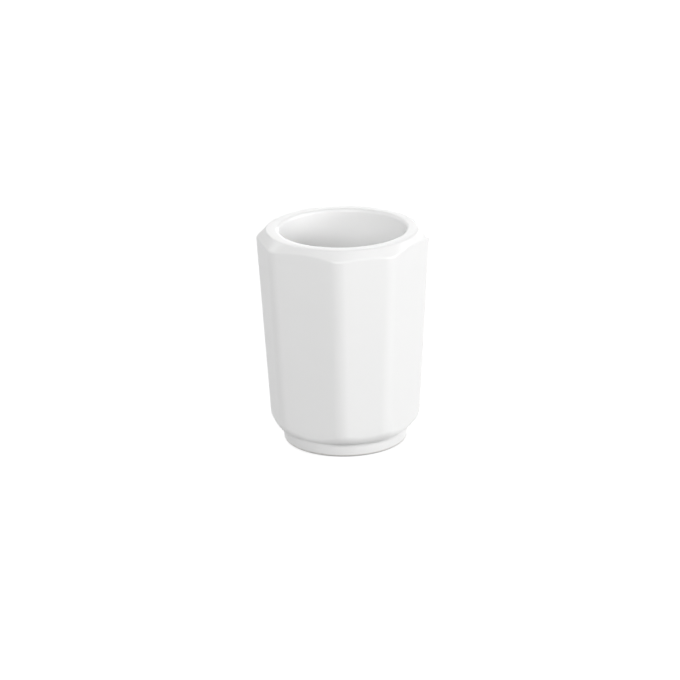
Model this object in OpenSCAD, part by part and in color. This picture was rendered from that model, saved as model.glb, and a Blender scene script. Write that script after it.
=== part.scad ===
// Faceted ceramic toothbrush holder, standing on four anti-slip pads.
// Millimetres, +Z up. The origin is the middle of the plane that the pads stand on.
// Wide sides face along X and Y. Narrow sides face along the diagonals.

/* [Body] */
// Height of the ceramic body, from the face of its foot to the top of its rim
body_h = 100; // [85:1:130]
// Distance across two opposite wide sides, measured at the rim
wide_across = 72.2; // [68:0.2:76]
// Distance across two opposite narrow sides, measured at the rim
narrow_across = 75.8; // [73:0.2:80]
// How far the narrow sides stand out past the edge of the foot's face, at the level of that face
side_step = 4.25; // [2.5:0.25:6]
// Radius of the rounded vertical edges between two sides
edge_r = 9.5; // [2:0.5:16]
// Thickness of the wall where it is thinnest, at the middle of a wide side
wall_t = 6; // [5:0.25:8]

/* [Rim] */
// How far the outer edge of the ring around the mouth lies inside the wide sides
rim_inset = 1.2; // [0.6:0.1:2.5]
// Height of the chamfer between the ring and the sides
rim_chamfer_h = 3.5; // [2.5:0.25:6]
// Radius of the soft edge between the ring and the chamfer
rim_edge_r = 1.2; // [0.3:0.1:2]
// Radius of the rounded lip between the ring and the cup
lip_r = 1; // [0.3:0.1:1.8]

/* [Cup] */
// Thickness of the cup's floor above the recess
floor_t = 6; // [4:0.5:12]
// Radius of the hollow corner around the cup's floor
floor_r = 6; // [2:0.5:14]

/* [Foot] */
// Height of the foot, from its face to the middle of the cove
foot_h = 6.2; // [4:0.1:9]
// Diameter of the foot at its face, before its edge is rounded
foot_face_d = 56.8; // [52:0.2:60]
// Widening of the foot on each side, from its face to the cove
foot_flare = 1.4; // [0:0.1:2]
// Radius of the cove where the foot meets the shoulder
cove_r = 1; // [0.6:0.1:2]
// Radius of the rounded shoulder above the cove
shoulder_r = 7; // [5:0.5:12]
// Radius of the soft edge around the foot's face
foot_edge_r = 0.6; // [0.3:0.1:1.5]
// Width of the foot ring, between its face's edge and the recess
foot_ring_w = 4.5; // [3:0.1:7]
// Depth of the recess under the foot
recess_h = 1.5; // [0.8:0.1:2.5]

/* [Anti-slip pads] */
// Diameter of a pad
pad_d = 9; // [6:0.5:12]
// How far the pads stand out below the foot
pad_out = 0.5; // [0.3:0.1:1.2]
// Gap between a pad and the wall of the recess
pad_gap = 1.5; // [0.5:0.1:4]

/* [Hidden] */
PADS = 4;

$fn = 96;
// Straight pieces in each rounded stretch of an outline
ARC_STEPS = 12;
// Straight pieces in the full circle of a vertical edge
EDGE_FN = 32;
// Straight pieces in a rounded stretch of the ring's outer edge, and all round it
RING_STEPS = 4;
RING_FN = 64;
// How far a cut runs past the surface that it opens
overrun = 2;
// How far the turned outline stays outside the vertical edges along the sides
edge_clear = 0.1;
// Thickness of a slice that only marks a level
slice_t = 0.01;

// Heights
foot_z = pad_out;
rim_z = foot_z + body_h;
cup_floor_z = foot_z + recess_h + floor_t;

foot_face_r = foot_face_d / 2;
recess_r = foot_face_r - foot_ring_w;
pad_pitch_r = recess_r - pad_gap - pad_d / 2;

// Slope of the foot's wall, outwards going up
flare_a = atan(foot_flare / foot_h);

// Slope of the sides and of the cup's wall, inwards going down
lean = (narrow_across / 2 - foot_face_r - side_step) / body_h;
side_draft = atan(lean);

// Radius of the mouth, before its lip is rounded, and of the ring around it
least_half = min(wide_across, narrow_across) / 2;
mouth_r = least_half - wall_t;
ring_r = least_half - rim_inset;

// How far the sides lean in at a height
function lean_in(z) = (rim_z - z) * lean;

// Radius of the cup's wall at a height
function cup_r(z) = mouth_r - lean_in(z);

// Centre of the vertical edge beside the wide side that faces +X, at a height
function edge_centre(z) =
    let (x = wide_across / 2 - lean_in(z) - edge_r)
    let (along_diagonal = narrow_across / 2 - lean_in(z) - edge_r)
    [x, (along_diagonal - x * cos(45)) / sin(45)];

// Radius that the turned outline keeps outside the vertical edges, at a height
function side_r(z) = norm(edge_centre(z)) + edge_r + edge_clear;
side_slope = (side_r(rim_z) - side_r(foot_z)) / body_h;
side_slope_a = atan(side_slope);

// Points along an arc, from one angle to the other
function arc(centre, r, from, to, steps = ARC_STEPS) =
    [for (i = [0 : steps]) let (a = from + (to - from) * i / steps) centre + r * [cos(a), sin(a)]];

// Edge of the foot's face
foot_edge_c = [foot_face_r + foot_edge_r * (tan(flare_a) - 1 / cos(flare_a)), foot_z + foot_edge_r];

// Cove: a hollow arc that touches the foot's wall and the shoulder
cove_z = foot_z + foot_h;
cove_c = [foot_face_r + foot_flare + cove_r / cos(flare_a), cove_z];

// Shoulder: a round arc that touches the side line and the cove
shoulder_reach = shoulder_r + cove_r;
shoulder_in = side_r(cove_z) - shoulder_r / cos(side_slope_a) - cove_c[0];
slope_term = 1 + side_slope * side_slope;
shoulder_up = (sqrt(pow(shoulder_in * side_slope, 2)
    - slope_term * (pow(shoulder_in, 2) - pow(shoulder_reach, 2))) - shoulder_in * side_slope) / slope_term;
shoulder_c = cove_c + [shoulder_in + shoulder_up * side_slope, shoulder_up];
cove_a = atan2(shoulder_c[1] - cove_c[1], shoulder_c[0] - cove_c[0]);

// Outline of the ring's outer edge
rim_edge_c = [ring_r - rim_edge_r, rim_z - rim_edge_r];
ring_outline = concat(arc(rim_edge_c, rim_edge_r, 0, 90, RING_STEPS), [[0, rim_z], [0, rim_z - rim_edge_r]]);

// Outline that is turned about Z: foot, cove, shoulder and side
turned_outline = concat(
    [[0, foot_z]],
    arc(foot_edge_c, foot_edge_r, -90, -flare_a),
    arc(cove_c, cove_r, 180 - flare_a, cove_a),
    arc(shoulder_c, shoulder_r, cove_a - 180, -side_slope_a),
    [[side_r(rim_z + overrun), rim_z + overrun], [0, rim_z + overrun]]
);

// Outline of the cup's hollow: lip, wall and rounded floor corner
lip_c = [cup_r(rim_z - lip_r) + lip_r / cos(side_draft), rim_z - lip_r];
floor_c = [cup_r(cup_floor_z + floor_r) - floor_r / cos(side_draft), cup_floor_z + floor_r];
cup_outline = concat(
    [[0, rim_z + overrun], [lip_c[0], rim_z + overrun]],
    arc(lip_c, lip_r, 90, 180 - side_draft),
    arc(floor_c, floor_r, -side_draft, -90),
    [[0, cup_floor_z]]
);

// One round vertical edge's slice at a height, beside a wide side, on either hand of it
module edge_slice(z, hand) {
    c = edge_centre(z);
    translate([c[0], hand * c[1], z - slice_t]) cylinder(r = edge_r, h = slice_t, $fn = EDGE_FN);
}

// Eight leaning sides with round vertical edges, closed above by the chamfer and the ring
module faceted_block() {
    hull() {
        for (side = [0 : 3], hand = [-1, 1], z = [foot_z - overrun, rim_z - rim_chamfer_h])
            rotate([0, 0, side * 90]) edge_slice(z, hand);
        rotate_extrude($fn = RING_FN) polygon(ring_outline);
    }
}

// The ceramic body, in one piece
module tumbler() {
    color("white")
    difference() {
        intersection() {
            faceted_block();
            rotate_extrude() polygon(turned_outline);
        }
        rotate_extrude() polygon(cup_outline);
        translate([0, 0, foot_z - overrun]) cylinder(r = recess_r, h = recess_h + overrun);
    }
}

// One round pad, stuck to the roof of the recess under a narrow side
module antislip_pad(i) {
    color("gainsboro")
    rotate([0, 0, 45 + i * 360 / PADS])
    translate([pad_pitch_r, 0, 0])
    cylinder(d = pad_d, h = pad_out + recess_h);
}

tumbler();
for (i = [1 : PADS])
    antislip_pad(i - 1);
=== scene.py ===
"""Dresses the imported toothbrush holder: a glazed, faceted tumbler on four anti-slip pads.

Every size is in millimetres until a mesh is finished, when it is brought to metres. The studio is in metres.
"""

import functools
import logging
import math
from dataclasses import dataclass, field
from enum import Enum

import bmesh
import bpy
from mathutils import Matrix, Vector


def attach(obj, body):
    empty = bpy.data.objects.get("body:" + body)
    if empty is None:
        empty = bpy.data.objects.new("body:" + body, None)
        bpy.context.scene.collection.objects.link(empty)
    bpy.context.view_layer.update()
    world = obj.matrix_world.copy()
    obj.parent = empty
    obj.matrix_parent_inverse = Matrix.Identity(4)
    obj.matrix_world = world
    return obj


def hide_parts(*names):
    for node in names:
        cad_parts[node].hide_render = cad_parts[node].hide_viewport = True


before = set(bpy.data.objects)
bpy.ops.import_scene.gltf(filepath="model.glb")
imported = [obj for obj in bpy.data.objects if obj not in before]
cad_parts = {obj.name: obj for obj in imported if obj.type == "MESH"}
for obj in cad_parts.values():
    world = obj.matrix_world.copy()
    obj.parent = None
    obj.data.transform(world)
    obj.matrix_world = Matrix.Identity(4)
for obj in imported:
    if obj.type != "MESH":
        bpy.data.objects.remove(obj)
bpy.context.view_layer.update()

ROOT_BODY = "root"
PADS = 4
# Pixels along a side of the photograph
PHOTO_SIDE = 680
# Metres in a millimetre
MM = 0.001
# Heights above the counter, in millimetres, of the rim and of the recess's roof, which the pads are stuck to
RIM_Z = 100.5
ROOF_Z = 2.0
# Millimetres within which points count as one, while a form is cut and when it is finished
NEAR = 1e-4
WELD = 1e-5
# Profile of a bevel that makes a round arc
ROUND = 0.5

Colour = tuple[float, float, float]

log = logging.getLogger("toothbrush_holder")


class Slot(Enum):
    """Material slots of the record."""

    GLAZE = "glazed_ceramic"
    RUBBER = "pad_rubber"


def polar(radius: float, degrees: float) -> Vector:
    """Returns the point in the XY plane at a radius and an angle from +X."""
    angle = math.radians(degrees)
    return Vector((radius * math.cos(angle), radius * math.sin(angle), 0.0))


def sight(azimuth: float, elevation: float) -> Vector:
    """Returns the direction from the object to a viewer, azimuth from -Y towards +X, both in degrees."""
    a, e = math.radians(azimuth), math.radians(elevation)
    return Vector((math.sin(a) * math.cos(e), -math.cos(a) * math.cos(e), math.sin(e)))


def smooth_least(a: float, b: float, reach: float) -> float:
    """Returns the lesser of two lengths, blended where they are nearly alike.

    Args:
        a: The first length.
        b: The second length.
        reach: How far apart the two may be and still blend.

    Returns:
        The blended length, never more than the lesser of the two.
    """
    if reach <= 0:
        return min(a, b)
    share = max(reach - abs(a - b), 0.0) / reach
    return min(a, b) - share * share * reach / 4


def finish_piece(
    bm: bmesh.types.BMesh, name: str, material: bpy.types.Material,
) -> bpy.types.Object:
    """Turns a mesh in millimetres into a smooth-shaded piece of the object.

    Args:
        bm: The mesh, which is used up.
        name: The piece's name.
        material: Its material.

    Returns:
        The piece, which rides on the object's one body.
    """
    bmesh.ops.remove_doubles(bm, verts=bm.verts, dist=WELD)
    bmesh.ops.recalc_face_normals(bm, faces=bm.faces)
    bmesh.ops.scale(bm, vec=Vector((MM, MM, MM)), verts=bm.verts)
    mesh = bpy.data.meshes.new(name)
    bm.to_mesh(mesh)
    bm.free()
    mesh.shade_smooth()
    mesh.materials.append(material)
    piece = bpy.data.objects.new(name, mesh)
    bpy.context.scene.collection.objects.link(piece)
    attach(piece, ROOT_BODY)
    return piece


@dataclass(frozen=True)
class Corner:
    """One corner of an outline that is turned about Z, in millimetres.

    Attributes:
        r: Radius of the sharp corner.
        z: Height of the sharp corner.
        rounding: Radius of the arc that rounds it, or 0 for a point of a straight run.
        segments: Straight pieces in that arc.
    """

    r: float
    z: float
    rounding: float = 0.0
    segments: int = 1


class TurnedOutline:
    """An outline in the XZ plane, from the axis out and back to the axis."""

    def __init__(self, corners: list[Corner]) -> None:
        """Keeps the corners, in order, the first and the last on the axis."""
        self.corners = corners

    def offset(self, index: int) -> float:
        """Returns how far from a corner its rounding starts.

        Args:
            index: The corner's place in the outline.

        Returns:
            The distance along both runs that meet there.
        """
        before, here, after = (self.corners[i] for i in (index - 1, index, index + 1))
        run_in = Vector((here.r - before.r, here.z - before.z))
        run_out = Vector((after.r - here.r, after.z - here.z))
        return here.rounding * math.tan(run_in.angle(run_out) / 2)

    def wire(self) -> bmesh.types.BMesh:
        """Draws the outline.

        Returns:
            A wire with its corners rounded.
        """
        bm = bmesh.new()
        verts = [bm.verts.new((corner.r, 0.0, corner.z)) for corner in self.corners]
        for a, b in zip(verts, verts[1:]):
            bm.edges.new((a, b))
        for index, corner in enumerate(self.corners):
            if corner.rounding > 0:
                bmesh.ops.bevel(
                    bm, geom=[verts[index]], offset=self.offset(index), offset_type="OFFSET",
                    segments=corner.segments, profile=ROUND, affect="VERTICES", material=-1,
                )
        return bm


@dataclass(frozen=True)
class FacetedSides:
    """The eight leaning sides, with round vertical edges, as the CAD has them."""

    wide_across: float = 72.2
    narrow_across: float = 75.8
    lean: float = 0.0525
    edge_r: float = 9.5
    rim_z: float = RIM_Z
    turn_digits: int = 7
    height_digits: int = 6

    def half(self, wide: bool, z: float) -> float:
        """Returns how far a wide or a narrow side stands from the axis at a height."""
        return (self.wide_across if wide else self.narrow_across) / 2 - (self.rim_z - z) * self.lean

    @functools.lru_cache(maxsize=None)
    def folded_reach(self, folded: float, z: float) -> float:
        """Returns the radius of the sides in one direction of the first eighth of a turn.

        Args:
            folded: Angle from +X, in radians, from 0 to an eighth of a turn.
            z: Height.

        Returns:
            The distance from the axis to the rounded octagon.
        """
        eighth = math.pi / 4
        x = self.half(True, z) - self.edge_r
        along = self.half(False, z) - self.edge_r
        y = (along - x * math.cos(eighth)) / math.sin(eighth)
        if folded <= math.atan2(y, self.half(True, z)):
            return self.half(True, z) / math.cos(folded)
        lift = self.edge_r * math.sin(eighth)
        if folded >= math.atan2(y + lift, x + lift):
            return self.half(False, z) / math.cos(eighth - folded)
        ahead = x * math.cos(folded) + y * math.sin(folded)
        return ahead + math.sqrt(max(ahead * ahead - x * x - y * y + self.edge_r**2, 0.0))

    def reach(self, turn: float, z: float) -> float:
        """Returns the radius of the sides in one direction.

        Args:
            turn: Angle from +X, in radians.
            z: Height.

        Returns:
            The distance from the axis to the rounded octagon.
        """
        quarter = math.pi / 2
        folded = turn % quarter
        folded = min(folded, quarter - folded)
        return self.folded_reach(round(folded, self.turn_digits), round(z, self.height_digits))


@dataclass
class Tumbler:
    """The ceramic body: a turned form whose outside is pared to eight flat sides."""

    sides: FacetedSides = field(default_factory=FacetedSides)
    foot_z: float = 0.5
    rim_z: float = RIM_Z
    steps: int = 384

    # Ring and chamfer
    ring_r: float = 34.6
    ring_edge_r: float = 1.2
    ring_segments: int = 8
    turned_chamfer: float = 62.0
    chamfer_drop: float = 2.95
    chamfer_arch: float = 0.354
    chamfer_soft_z: float = 0.6
    chamfer_low_z: float = 92.0
    far_r: float = 39.46

    # Mouth and cup
    mouth_r: float = 28.9
    lip_r: float = 1.5
    lip_segments: int = 10
    cup_lean: float = 0.0395
    cup_floor_z: float = 8.0
    cup_floor_r: float = 6.0
    cup_segments: int = 14
    wall_clear: float = 1.0

    # Foot, cove and shoulder
    foot_r: float = 28.4
    foot_edge_r: float = 0.6
    foot_segments: int = 6
    foot_flare: float = 0.55
    cove_z: float = 4.5
    cove_r: float = 2.6
    cove_segments: int = 10
    shoulder_r: float = 7.0
    shoulder_segments: int = 24
    shoulder_squat: float = 0.85
    plain_z: float = 20.0

    # Recess under the foot
    recess_r: float = 23.9
    recess_z: float = ROOF_Z
    recess_edge_r: float = 0.5
    recess_segments: int = 4

    # Cuts along the height, fine from chamfer_low_z up and coarse from plain_z up
    fine_step: float = 0.25
    fine_cuts: int = 31
    side_step: float = 10.0
    side_cuts: int = 8

    def far_side(self, z: float) -> float:
        """Returns the radius that the turned outline has along the sides, just outside the vertical edges."""
        return self.far_r - (self.rim_z - z) * self.sides.lean

    def cup_wall(self, z: float) -> float:
        """Returns the radius of the cup's wall at a height."""
        return self.mouth_r - (self.rim_z - z) * self.cup_lean

    def neck(self) -> tuple[Vector, Vector]:
        """Finds the sharp corners of the cove and of the shoulder, whose arcs run into each other.

        Returns:
            The cove's corner and the shoulder's.
        """
        lean = self.sides.lean
        wall = Vector((self.foot_flare, self.cove_z - self.foot_z))
        side = Vector((lean, 1.0))
        cove_c = Vector((self.foot_r + self.foot_flare + self.cove_r * wall.length / wall.y, self.cove_z))
        inward = self.far_side(self.cove_z) - self.shoulder_r * side.length - cove_c.x
        spare = (self.shoulder_r + self.cove_r) ** 2 - inward**2
        square = side.length_squared
        rise = (math.sqrt((inward * lean) ** 2 + square * spare) - inward * lean) / square
        way = Vector((inward + rise * lean, rise)).normalized()
        along = Vector((way.y, -way.x))
        meeting = cove_c + way * self.cove_r
        cove = meeting - along * self.cove_r * math.tan(wall.angle(along) / 2)
        shoulder = meeting + along * self.shoulder_r * math.tan(side.angle(along) / 2)
        return cove, shoulder

    def chamfer_corner(self) -> tuple[float, float]:
        """Finds where the turned form's own chamfer meets the line of the sides.

        Returns:
            The radius and the height there.
        """
        slope = math.tan(math.radians(self.turned_chamfer))
        fall = (self.far_r - self.ring_r) * slope / (1 + slope * self.sides.lean)
        return self.far_side(self.rim_z - fall), self.rim_z - fall

    def chamfer(self, turn: float) -> tuple[float, float]:
        """Returns the chamfer's fall and spread in one direction.

        Args:
            turn: Angle from +X, in radians.

        Returns:
            How far it falls from the rim to the side, and how far it spreads outwards there.
        """
        rim_side = self.sides.reach(turn, self.rim_z)
        fall = self.chamfer_drop + (rim_side - self.sides.half(True, self.rim_z)) * self.chamfer_arch
        return fall, self.sides.reach(turn, self.rim_z - fall) - self.ring_r

    def inside_r(self, z: float) -> float:
        """Returns a radius that tells the outside from the cup.

        Args:
            z: Height.

        Returns:
            A radius within which every point belongs to the cup or to the flat ring.
        """
        if z > self.chamfer_low_z:
            steep = math.radians(self.turned_chamfer)
            return self.ring_r - self.ring_edge_r * math.tan(steep / 2) - NEAR
        return self.cup_wall(z) + self.wall_clear

    def outline(self) -> TurnedOutline:
        """Lays out the body's section.

        Returns:
            The closed outline that is turned about Z.
        """
        cove, shoulder = self.neck()
        chamfer_r, chamfer_z = self.chamfer_corner()
        corners = [
            Corner(0.0, self.recess_z),
            Corner(self.recess_r - 2 * self.recess_edge_r, self.recess_z),
            Corner(self.recess_r, self.recess_z, self.recess_edge_r, self.recess_segments),
            Corner(self.recess_r, self.foot_z, self.recess_edge_r, self.recess_segments),
            Corner(self.foot_r, self.foot_z, self.foot_edge_r, self.foot_segments),
            Corner(cove.x, cove.y, self.cove_r, self.cove_segments),
            Corner(shoulder.x, shoulder.y, self.shoulder_r, self.shoulder_segments),
            Corner(chamfer_r, chamfer_z),
            Corner(self.ring_r, self.rim_z, self.ring_edge_r, self.ring_segments),
            Corner(self.mouth_r, self.rim_z, self.lip_r, self.lip_segments),
            Corner(self.cup_wall(self.cup_floor_z), self.cup_floor_z, self.cup_floor_r, self.cup_segments),
            Corner(0.0, self.cup_floor_z),
        ]
        return TurnedOutline(corners)

    def cut_levels(self, bm: bmesh.types.BMesh) -> None:
        """Cuts the outline's long runs, finely where the chamfer bends and evenly along the sides.

        Args:
            bm: The outline's wire.
        """
        fine = [self.chamfer_low_z + i * self.fine_step for i in range(self.fine_cuts)]
        coarse = [self.plain_z + i * self.side_step for i in range(self.side_cuts)]
        for z in fine + coarse:
            bmesh.ops.bisect_plane(
                bm, geom=bm.verts[:] + bm.edges[:], dist=NEAR,
                plane_co=Vector((0, 0, z)), plane_no=Vector((0, 0, 1)),
            )

    def settle(self, z: float, low: float, top: float, share: float) -> float:
        """Brings the shoulder down where the side cuts most of it away, and stretches the side to follow.

        Args:
            z: Height on the turned form.
            low: Height of the shoulder's lower end.
            top: Height of its upper end on the turned form.
            share: Share of the shoulder's width that is left in this direction, up to 1.

        Returns:
            The height on the pared form.
        """
        if z <= low or z >= self.plain_z:
            return z
        squat = share**self.shoulder_squat
        if z <= top:
            return low + (z - low) * squat
        settled = low + (top - low) * squat
        return self.plain_z - (self.plain_z - z) * (self.plain_z - settled) / (self.plain_z - top)

    def pare_rim(self, turn: float, z: float) -> tuple[float, float]:
        """Finds where a point of the ring's edge, the chamfer or the side below it moves.

        Args:
            turn: Angle from +X, in radians.
            z: Height on the turned form.

        Returns:
            The point's new radius and height.
        """
        steep = math.radians(self.turned_chamfer)
        edge_low = self.rim_z - self.ring_edge_r * (1 - math.cos(steep))
        fall, spread = self.chamfer(turn)
        if z > edge_low - NEAR:
            slope = math.atan2(fall, spread)
            tilt = math.acos(min(1.0, max(-1.0, (z - self.rim_z + self.ring_edge_r) / self.ring_edge_r)))
            tilt *= slope / steep
            pared = self.ring_r - self.ring_edge_r * (math.tan(slope / 2) - math.sin(tilt))
            return pared, self.rim_z - self.ring_edge_r * (1 - math.cos(tilt))
        line = self.ring_r + spread * (self.rim_z - z) / fall
        soft = self.chamfer_soft_z * (spread / fall - self.sides.lean)
        return smooth_least(line, self.sides.reach(turn, z), soft), z

    def pare(self, bm: bmesh.types.BMesh) -> None:
        """Moves the outside in to the eight sides, which run softly into the chamfer and the cove.

        Args:
            bm: The turned form.
        """
        cove, shoulder = self.neck()
        side = Vector((self.sides.lean, 1.0))
        top = shoulder.y + self.shoulder_r * math.tan(side.angle(shoulder - cove) / 2)
        for vert in bm.verts:
            x, y, z = vert.co
            r = math.hypot(x, y)
            if z < self.cove_z or r < max(self.inside_r(z), cove.x):
                continue
            turn = math.atan2(y, x)
            if z > self.chamfer_low_z:
                pared, settled = self.pare_rim(turn, z)
            else:
                spare = self.far_side(z) - cove.x
                settled = self.settle(z, cove.y, top, (self.sides.reach(turn, z) - cove.x) / spare)
                pared = cove.x + (r - cove.x) * (self.sides.reach(turn, settled) - cove.x) / spare
            vert.co = Vector((x * pared / r, y * pared / r, settled))

    def build(self, material: bpy.types.Material) -> bpy.types.Object:
        """Makes the body as one closed piece that stands for the CAD's tumbler.

        Args:
            material: The glaze.

        Returns:
            The piece.
        """
        bm = self.outline().wire()
        self.cut_levels(bm)
        bmesh.ops.spin(
            bm, geom=bm.verts[:] + bm.edges[:], cent=Vector((0, 0, 0)), axis=Vector((0, 0, 1)),
            angle=2 * math.pi, steps=self.steps, use_merge=True,
        )
        bmesh.ops.remove_doubles(bm, verts=bm.verts, dist=NEAR)
        self.pare(bm)
        piece = finish_piece(bm, "tumbler_body", material)
        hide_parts("tumbler")
        return piece


@dataclass
class AntiSlipPad:
    """One die-cut pad in the recess under the foot."""

    number: int
    diameter: float = 9.0
    thickness: float = ROOF_Z
    pitch_r: float = 17.9
    first_at: float = 45.0
    edge_r: float = 0.45
    edge_segments: int = 6
    back_edge_r: float = 0.12
    back_segments: int = 2
    border: float = 0.3
    steps: int = 96

    def round_rim(self, bm: bmesh.types.BMesh, level: float, rounding: float, segments: int) -> None:
        """Rounds the edge all round one face of the pad.

        Args:
            bm: The pad's mesh.
            level: Height of the face.
            rounding: Radius of the edge.
            segments: Straight pieces in its arc.
        """
        rim = [edge for edge in bm.edges if all(abs(vert.co.z - level) < WELD for vert in edge.verts)]
        bmesh.ops.bevel(
            bm, geom=rim, offset=rounding, offset_type="OFFSET", segments=segments, profile=ROUND,
            affect="EDGES", material=-1,
        )

    def build(self, material: bpy.types.Material) -> bpy.types.Object:
        """Makes the pad, its face towards the counter softly rounded.

        Args:
            material: The rubber.

        Returns:
            The piece, which stands for the CAD's pad of the same number.
        """
        bm = bmesh.new()
        bmesh.ops.create_circle(bm, cap_ends=True, radius=self.diameter / 2, segments=self.steps)
        made = bmesh.ops.extrude_face_region(bm, geom=bm.faces[:])
        raised = [item for item in made["geom"] if isinstance(item, bmesh.types.BMVert)]
        bmesh.ops.translate(bm, vec=Vector((0, 0, self.thickness)), verts=raised)
        self.round_rim(bm, 0.0, self.edge_r, self.edge_segments)
        self.round_rim(bm, self.thickness, self.back_edge_r, self.back_segments)
        flats = [face for face in bm.faces if len(face.verts) > 4]
        bmesh.ops.inset_region(bm, faces=flats, thickness=self.border, use_even_offset=True)
        place = polar(self.pitch_r, self.first_at + (self.number - 1) * 360 / PADS)
        bmesh.ops.translate(bm, vec=place, verts=bm.verts)
        piece = finish_piece(bm, f"antislip_pad_{self.number}_disc", material)
        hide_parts(f"antislip_pad_{self.number}")
        return piece


class NodeDraft:
    """A node tree being filled: adds nodes and links with few words."""

    def __init__(self, tree: bpy.types.NodeTree) -> None:
        """Keeps the tree to fill."""
        self.tree = tree

    def add(self, kind: str, inputs: dict | None = None, **settings: object) -> bpy.types.Node:
        """Adds a node.

        Args:
            kind: The node's type.
            inputs: Socket name or number to a value, or to an output socket to link from.
            **settings: Properties of the node.

        Returns:
            The node.
        """
        node = self.tree.nodes.new(kind)
        for name, value in settings.items():
            setattr(node, name, value)
        for key, value in (inputs or {}).items():
            if isinstance(value, bpy.types.NodeSocket):
                self.tree.links.new(value, node.inputs[key])
            else:
                node.inputs[key].default_value = value
        return node

    def link(self, source: bpy.types.NodeSocket, target: bpy.types.NodeSocket) -> None:
        """Links two sockets."""
        self.tree.links.new(source, target)

    def place(self, output: str = "Object") -> bpy.types.NodeSocket:
        """Returns the coordinates of the point that is shaded."""
        return self.add("ShaderNodeTexCoord").outputs[output]

    def maths(self, operation: str, *values: object) -> bpy.types.NodeSocket:
        """Returns the result of a sum on numbers or sockets."""
        return self.add("ShaderNodeMath", dict(enumerate(values)), operation=operation).outputs[0]

    def mix(self, share: object, a: object, b: object, kind: str = "FLOAT") -> bpy.types.NodeSocket:
        """Returns a mix of two numbers or colours by a share of the second."""
        return self.add("ShaderNodeMix", {"Factor": share, "A": a, "B": b}, data_type=kind).outputs["Result"]

    def ramp(
        self, value: bpy.types.NodeSocket, start: object = 0.0, end: object = 1.0, low: float = 0.0,
        high: float = 1.0, kind: str = "LINEAR",
    ) -> bpy.types.NodeSocket:
        """Maps one range of a value to another.

        Args:
            value: The value.
            start: Where the first range begins.
            end: Where it ends.
            low: What the value becomes at its beginning.
            high: What it becomes at its end.
            kind: LINEAR or SMOOTHSTEP.

        Returns:
            The mapped value.
        """
        inputs = {"Value": value, "From Min": start, "From Max": end, "To Min": low, "To Max": high}
        return self.add("ShaderNodeMapRange", inputs, interpolation_type=kind).outputs[0]

    def relief(self, height: bpy.types.NodeSocket, strength: float, depth: float) -> bpy.types.NodeSocket:
        """Returns a normal that follows a relief of a depth in millimetres."""
        inputs = {"Height": height, "Strength": strength, "Distance": depth * MM}
        return self.add("ShaderNodeBump", inputs).outputs["Normal"]


@dataclass(frozen=True)
class NoiseLayer:
    """One layer of noise in the shared group.

    Attributes:
        output: Name of the group's output.
        scale_input: Name of the group's input for its scale.
        scale: Usual number of its features in a metre.
        detail: Finer octaves.
        roughness: Weight of the finer octaves.
    """

    output: str
    scale_input: str
    scale: float
    detail: float
    roughness: float


class SurfaceGrain:
    """A shader node group that both finishes share: fine relief and soft mottling in object space."""

    NAME = "surface_grain"
    LAYERS = (
        NoiseLayer("Grain", "Grain Size", 900.0, 3.0, 0.6),
        NoiseLayer("Mottle", "Mottle Size", 60.0, 2.0, 0.5),
        NoiseLayer("Wave", "Waviness", 12.0, 1.0, 0.4),
    )

    def __init__(self) -> None:
        """Builds the group once."""
        self.tree = bpy.data.node_groups.new(self.NAME, "ShaderNodeTree")
        face = self.tree.interface
        for layer in self.LAYERS:
            socket = face.new_socket(name=layer.scale_input, in_out="INPUT", socket_type="NodeSocketFloat")
            socket.default_value = layer.scale
        for layer in self.LAYERS:
            face.new_socket(name=layer.output, in_out="OUTPUT", socket_type="NodeSocketFloat")
        draft = NodeDraft(self.tree)
        inside = draft.add("NodeGroupInput")
        place = draft.place()
        out = draft.add("NodeGroupOutput")
        for layer in self.LAYERS:
            noise = draft.add("ShaderNodeTexNoise", {
                "Vector": place, "Scale": inside.outputs[layer.scale_input],
                "Detail": layer.detail, "Roughness": layer.roughness,
            })
            draft.link(noise.outputs["Fac"], out.inputs[layer.output])

    def place(self, draft: NodeDraft, scales: tuple[float, float, float]) -> bpy.types.Node:
        """Places the group in a material, with its grains, mottled patches and slow waves in a metre."""
        names = (layer.scale_input for layer in self.LAYERS)
        return draft.add("ShaderNodeGroup", dict(zip(names, scales)), node_tree=self.tree)


def new_material(name: str) -> tuple[bpy.types.Material, NodeDraft, bpy.types.Node]:
    """Returns an empty material, its tree's draft and its output node.

    Args:
        name: The material's name.

    Returns:
        The material, the draft and the output node.
    """
    material = bpy.data.materials.new(name)
    material.use_nodes = True
    material.node_tree.nodes.clear()
    draft = NodeDraft(material.node_tree)
    return material, draft, draft.add("ShaderNodeOutputMaterial")


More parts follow.
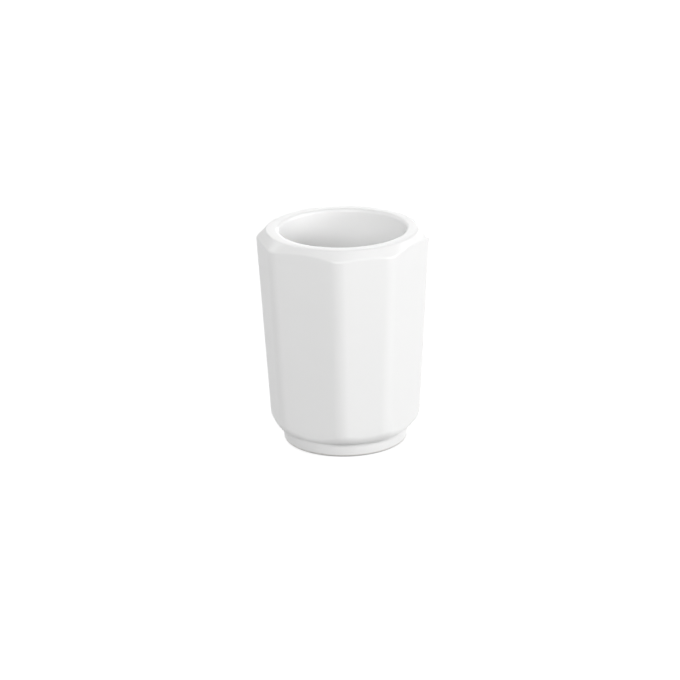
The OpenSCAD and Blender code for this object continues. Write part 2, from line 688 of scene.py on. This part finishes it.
@dataclass(frozen=True)
class WhiteGlaze:
    """Glossy white glaze over white earthenware, bare on the face of the foot."""

    glaze: Colour = (0.925, 0.925, 0.923)
    pooled: Colour = (0.91, 0.91, 0.906)
    bare: Colour = (0.80, 0.785, 0.755)
    roughness: float = 0.3
    roughness_spread: float = 0.15
    bare_roughness: float = 0.75
    bare_below: float = 0.95
    bare_waver: float = 0.3
    bare_fade: float = 0.15
    relief: float = 0.12
    relief_depth: float = 0.25
    ior: float = 1.5
    scales: tuple[float, float, float] = (1400.0, 70.0, 22.0)

    def bareness(self, draft: NodeDraft, mottle: bpy.types.NodeSocket) -> bpy.types.NodeSocket:
        """Masks the foot's face, where the glaze was wiped off along a slightly wavering line.

        Args:
            draft: The material's tree.
            mottle: The mottling that makes the line waver.

        Returns:
            1 where the ware is bare and 0 where it is glazed.
        """
        height = draft.add("ShaderNodeSeparateXYZ", {0: draft.place()}).outputs["Z"]
        line = draft.maths("MULTIPLY_ADD", mottle, self.bare_waver * MM, self.bare_below * MM)
        fade = draft.maths("ADD", line, self.bare_fade * MM)
        return draft.ramp(height, line, fade, 1.0, 0.0, "SMOOTHSTEP")

    def material(self, grain: SurfaceGrain) -> bpy.types.Material:
        """Makes the material.

        Args:
            grain: The shared group.

        Returns:
            The material.
        """
        material, draft, out = new_material("white_glaze")
        surface = grain.place(draft, self.scales).outputs
        bare = self.bareness(draft, surface["Mottle"])
        tone = draft.mix(surface["Mottle"], (*self.pooled, 1.0), (*self.glaze, 1.0), "RGBA")
        gloss = draft.ramp(
            surface["Mottle"], low=self.roughness * (1 - self.roughness_spread),
            high=self.roughness * (1 + self.roughness_spread),
        )
        height = draft.mix(bare, surface["Wave"], surface["Grain"])
        shader = draft.add("ShaderNodeBsdfPrincipled", {
            "Base Color": draft.mix(bare, tone, (*self.bare, 1.0), "RGBA"),
            "Roughness": draft.mix(bare, gloss, self.bare_roughness),
            "Normal": draft.relief(height, self.relief, self.relief_depth),
            "IOR": self.ior,
        })
        draft.link(shader.outputs[0], out.inputs["Surface"])
        return material


@dataclass(frozen=True)
class FoamRubber:
    """Pale grey closed-cell rubber of the pads, with fine pores."""

    light: Colour = (0.60, 0.60, 0.585)
    dark: Colour = (0.50, 0.50, 0.49)
    roughness: float = 0.82
    roughness_spread: float = 0.06
    relief: float = 0.35
    relief_depth: float = 0.2
    ior: float = 1.48
    scales: tuple[float, float, float] = (3200.0, 900.0, 120.0)

    def material(self, grain: SurfaceGrain) -> bpy.types.Material:
        """Makes the material.

        Args:
            grain: The shared group.

        Returns:
            The material.
        """
        material, draft, out = new_material("foam_rubber")
        surface = grain.place(draft, self.scales).outputs
        shader = draft.add("ShaderNodeBsdfPrincipled", {
            "Base Color": draft.mix(surface["Mottle"], (*self.dark, 1.0), (*self.light, 1.0), "RGBA"),
            "Roughness": draft.ramp(
                surface["Wave"], low=self.roughness - self.roughness_spread,
                high=self.roughness + self.roughness_spread,
            ),
            "Normal": draft.relief(surface["Grain"], self.relief, self.relief_depth),
            "IOR": self.ior,
        })
        draft.link(shader.outputs[0], out.inputs["Surface"])
        return material


@dataclass(frozen=True)
class SoftLamp:
    """One soft rectangular lamp that looks at the object.

    Attributes:
        name: The lamp's name.
        azimuth: Its direction from -Y towards +X, in degrees.
        elevation: Its height above the horizon, in degrees.
        width: Metres across.
        height: Metres up and down.
        power: Watts.
        distance: Metres from the point that it looks at.
        aim_z: Height of that point, in metres.
    """

    name: str
    azimuth: float
    elevation: float
    width: float
    height: float
    power: float
    distance: float = 1.6
    aim_z: float = 0.05

    def build(self) -> bpy.types.Object:
        """Adds the lamp to the scene.

        Returns:
            The lamp.
        """
        data = bpy.data.lights.new(self.name, "AREA")
        data.shape = "RECTANGLE"
        data.size, data.size_y = self.width, self.height
        data.energy = self.power
        lamp = bpy.data.objects.new(self.name, data)
        way = sight(self.azimuth, self.elevation)
        lamp.location = way * self.distance + Vector((0, 0, self.aim_z))
        lamp.rotation_mode = "QUATERNION"
        lamp.rotation_quaternion = way.to_track_quat("Z", "Y")
        bpy.context.scene.collection.objects.link(lamp)
        return lamp


@dataclass
class Studio:
    """White floor, white surroundings and soft lamps."""

    floor_half: float = 4.0
    floor_grey: float = 0.35
    floor_lift: float = 0.8
    # Radii in metres: within the first the floor's glow is off, and by the second it is full. This gives a
    # painted contact shadow under the foot.
    painted_shadow_within: float = 0.026
    painted_shadow_outer: float = 0.0288
    far_from: float = 0.3
    far_to: float = 1.5
    horizon_level: float = 0.4
    zenith_level: float = 0.02
    lamps: tuple[SoftLamp, ...] = (
        SoftLamp("lamp_right", 110.0, 14.0, 1.5, 0.7, 19.0),
        SoftLamp("lamp_front", 15.0, 25.0, 1.2, 0.7, 15.2),
        SoftLamp("lamp_left", 260.0, 45.0, 0.8, 0.8, 5.3),
        SoftLamp("lamp_back", 209.6, 22.0, 0.8, 0.5, 2.2),
        SoftLamp("lamp_back_low", 190.0, 2.0, 1.2, 0.12, 8.5),
    )

    def seen_white(self, draft: NodeDraft) -> bpy.types.NodeSocket:
        """Tells the rays that show the white background from the light that falls on the object.

        Args:
            draft: The tree of the floor's material or of the world.

        Returns:
            1 for a ray from the camera, a mirror or a glass, and 0 for any other.
        """
        path = draft.add("ShaderNodeLightPath").outputs
        first = draft.maths("MAXIMUM", path["Is Camera Ray"], path["Is Glossy Ray"])
        return draft.maths("MAXIMUM", first, path["Is Transmission Ray"])

    def floor_material(self) -> bpy.types.Material:
        """Makes the floor's white: grey ware in the light, lifted where it is seen, but not under the foot,
        which leaves a painted contact shadow there.

        Returns:
            The material.
        """
        material, draft, out = new_material("floor_white")
        diffuse = draft.add("ShaderNodeBsdfDiffuse", {"Color": (self.floor_grey,) * 3 + (1.0,)})
        away = draft.add("ShaderNodeVectorMath", {0: draft.place()}, operation="LENGTH").outputs["Value"]
        # Painted contact shadow: the glow fades to nothing under the foot, so the floor is dark there
        glow_past_painted_shadow = draft.ramp(away, self.painted_shadow_within, self.painted_shadow_outer, 0.0, self.floor_lift, "SMOOTHSTEP")
        far = draft.ramp(away, self.far_from, self.far_to, 0.0, 1.0 - self.floor_lift)
        level = draft.maths("MULTIPLY", self.seen_white(draft), draft.maths("ADD", glow_past_painted_shadow, far))
        glow = draft.add("ShaderNodeEmission", {"Strength": level})
        both = draft.add("ShaderNodeAddShader", {0: diffuse.outputs[0], 1: glow.outputs[0]})
        draft.link(both.outputs[0], out.inputs["Surface"])
        return material

    def floor(self) -> bpy.types.Object:
        """Lays the white floor, which keeps the object's shadow and has a painted contact shadow under the
        foot.

        Returns:
            The floor.
        """
        bm = bmesh.new()
        bmesh.ops.create_grid(bm, x_segments=1, y_segments=1, size=self.floor_half)
        mesh = bpy.data.meshes.new("floor")
        bm.to_mesh(mesh)
        bm.free()
        mesh.materials.append(self.floor_material())
        floor = bpy.data.objects.new("floor", mesh)
        bpy.context.scene.collection.objects.link(floor)
        return floor

    def surroundings(self) -> bpy.types.World:
        """Makes the world: white where it is seen, and a soft dome, paler at the horizon, where it lights.

        Returns:
            The world.
        """
        world = bpy.data.worlds.new("studio")
        world.use_nodes = True
        world.node_tree.nodes.clear()
        draft = NodeDraft(world.node_tree)
        up = draft.add("ShaderNodeSeparateXYZ", {0: draft.place("Generated")}).outputs["Z"]
        dome = draft.ramp(up, low=self.horizon_level, high=self.zenith_level)
        level = draft.mix(self.seen_white(draft), dome, 1.0)
        glow = draft.add("ShaderNodeBackground", {"Color": (1.0, 1.0, 1.0, 1.0), "Strength": level})
        out = draft.add("ShaderNodeOutputWorld")
        draft.link(glow.outputs[0], out.inputs["Surface"])
        bpy.context.scene.world = world
        return world

    def build(self) -> None:
        """Builds the floor, the surroundings and the lamps."""
        self.floor()
        self.surroundings()
        for lamp in self.lamps:
            lamp.build()


@dataclass
class PhotoCamera:
    """The camera at the photograph's viewing angle."""

    azimuth: float = 29.6
    elevation: float = 19.46
    distance: float = 1.1782
    target_z: float = 0.0505
    focal_px: float = 2568.8
    roll: float = 0.91
    sensor: float = 36.0
    shift_px: tuple[float, float] = (3.96, -8.28)
    clip: tuple[float, float] = (0.05, 50.0)

    def build(self) -> bpy.types.Object:
        """Sets up the camera and makes it the scene's.

        Returns:
            The camera.
        """
        data = bpy.data.cameras.new("photo_camera")
        data.sensor_width = self.sensor
        data.lens = self.focal_px / PHOTO_SIDE * self.sensor
        data.shift_x = -self.shift_px[0] / PHOTO_SIDE
        data.shift_y = self.shift_px[1] / PHOTO_SIDE
        data.clip_start, data.clip_end = self.clip
        camera = bpy.data.objects.new("photo_camera", data)
        back = sight(self.azimuth, self.elevation)
        level = Vector((0, 0, 1)).cross(back).normalized()
        upright = back.cross(level)
        roll = math.radians(self.roll)
        right = level * math.cos(roll) - upright * math.sin(roll)
        up = level * math.sin(roll) + upright * math.cos(roll)
        camera.rotation_mode = "QUATERNION"
        camera.rotation_quaternion = Matrix((right, up, back)).transposed().to_quaternion()
        camera.location = Vector((0, 0, self.target_z)) + back * self.distance
        bpy.context.scene.collection.objects.link(camera)
        bpy.context.scene.camera = camera
        return camera


def main() -> None:
    """Builds the camera, the studio and the pieces, in order."""
    logging.basicConfig(level=logging.INFO, format="%(name)s: %(message)s")
    bpy.context.scene.view_settings.view_transform = "Standard"
    PhotoCamera().build()
    Studio().build()
    grain = SurfaceGrain()
    body = Tumbler().build(WhiteGlaze().material(grain))
    log.info("%s: %d faces", body.name, len(body.data.polygons))
    rubber = FoamRubber().material(grain)
    for number in range(1, PADS + 1):
        pad = AntiSlipPad(number).build(rubber)
        log.info("%s: %d faces", pad.name, len(pad.data.polygons))


if __name__ == "__main__":
    main()
